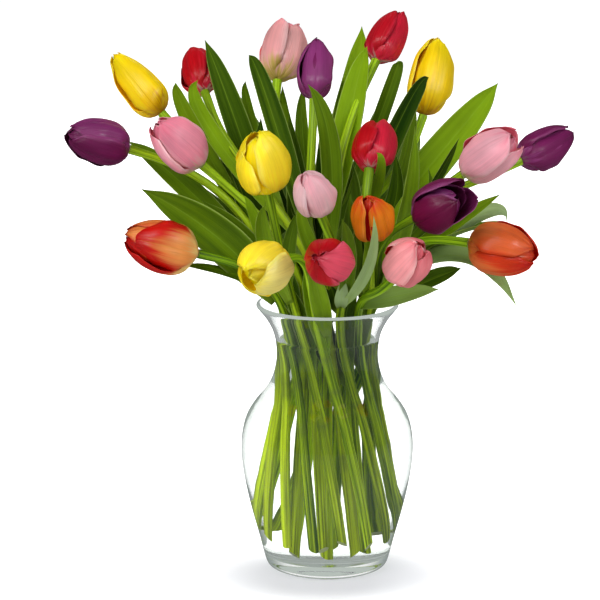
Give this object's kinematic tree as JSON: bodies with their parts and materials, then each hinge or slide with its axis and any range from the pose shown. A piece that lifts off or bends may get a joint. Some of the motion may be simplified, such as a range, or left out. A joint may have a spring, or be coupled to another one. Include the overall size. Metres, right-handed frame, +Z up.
{
  "type": "tulips in a vase",
  "caption": "Clear glass flower vase with a flared rim and rounded shoulder, holding water and a mixed bouquet of cut tulips with their leaves.",
  "frame": {"origin": "centre of the underside of the vase's foot, on the surface it stands on", "axes": "+Z up along the vase's axis; the bouquet's front looks towards -Y, and +X is to the viewer's right"},
  "size_m": [0.3859, 0.2754, 0.4167],
  "materials": {
    "vase_glass": "clear polished pressed glass",
    "water": "clear still water",
    "petal_yellow": "silky lemon yellow petals, golden towards the stem",
    "petal_purple": "silky plum purple petals with paler edges",
    "petal_red": "silky crimson petals, paler at the foot",
    "petal_pink": "silky pale pink petals, cream green at the foot",
    "petal_orange": "orange red petals flamed with yellow",
    "stem_green": "smooth fleshy light green stem",
    "leaf_green": "waxy green leaf with parallel veins"
  },
  "bodies": {
    "root": {"vase": "vase_glass", "water": "water", "bloom_01": "petal_yellow", "stem_01": "stem_green", "bloom_02": "petal_purple", "stem_02": "stem_green", "bloom_03": "petal_red", "stem_03": "stem_green", "bloom_04": "petal_pink", "stem_04": "stem_green", "bloom_05": "petal_pink", "stem_05": "stem_green", "bloom_06": "petal_purple", "stem_06": "stem_green", "bloom_07": "petal_red", "stem_07": "stem_green", "bloom_08": "petal_yellow", "stem_08": "stem_green", "bloom_09": "petal_pink", "stem_09": "stem_green", "bloom_10": "petal_purple", "stem_10": "stem_green", "bloom_11": "petal_red", "stem_11": "stem_green", "bloom_12": "petal_yellow", "stem_12": "stem_green", "bloom_13": "petal_pink", "stem_13": "stem_green", "bloom_14": "petal_orange", "stem_14": "stem_green", "bloom_15": "petal_red", "stem_15": "stem_green", "bloom_16": "petal_yellow", "stem_16": "stem_green", "bloom_17": "petal_purple", "stem_17": "stem_green", "bloom_18": "petal_pink", "stem_18": "stem_green", "bloom_19": "petal_orange", "stem_19": "stem_green", "bloom_20": "petal_orange", "stem_20": "stem_green", "leaf_01": "leaf_green", "leaf_02": "leaf_green", "leaf_03": "leaf_green", "leaf_04": "leaf_green", "leaf_05": "leaf_green", "leaf_06": "leaf_green", "leaf_07": "leaf_green", "leaf_08": "leaf_green", "leaf_09": "leaf_green", "leaf_10": "leaf_green", "leaf_11": "leaf_green", "leaf_12": "leaf_green", "leaf_13": "leaf_green", "leaf_14": "leaf_green", "leaf_15": "leaf_green", "leaf_16": "leaf_green", "leaf_17": "leaf_green", "leaf_18": "leaf_green"}
  },
  "joints": []
}
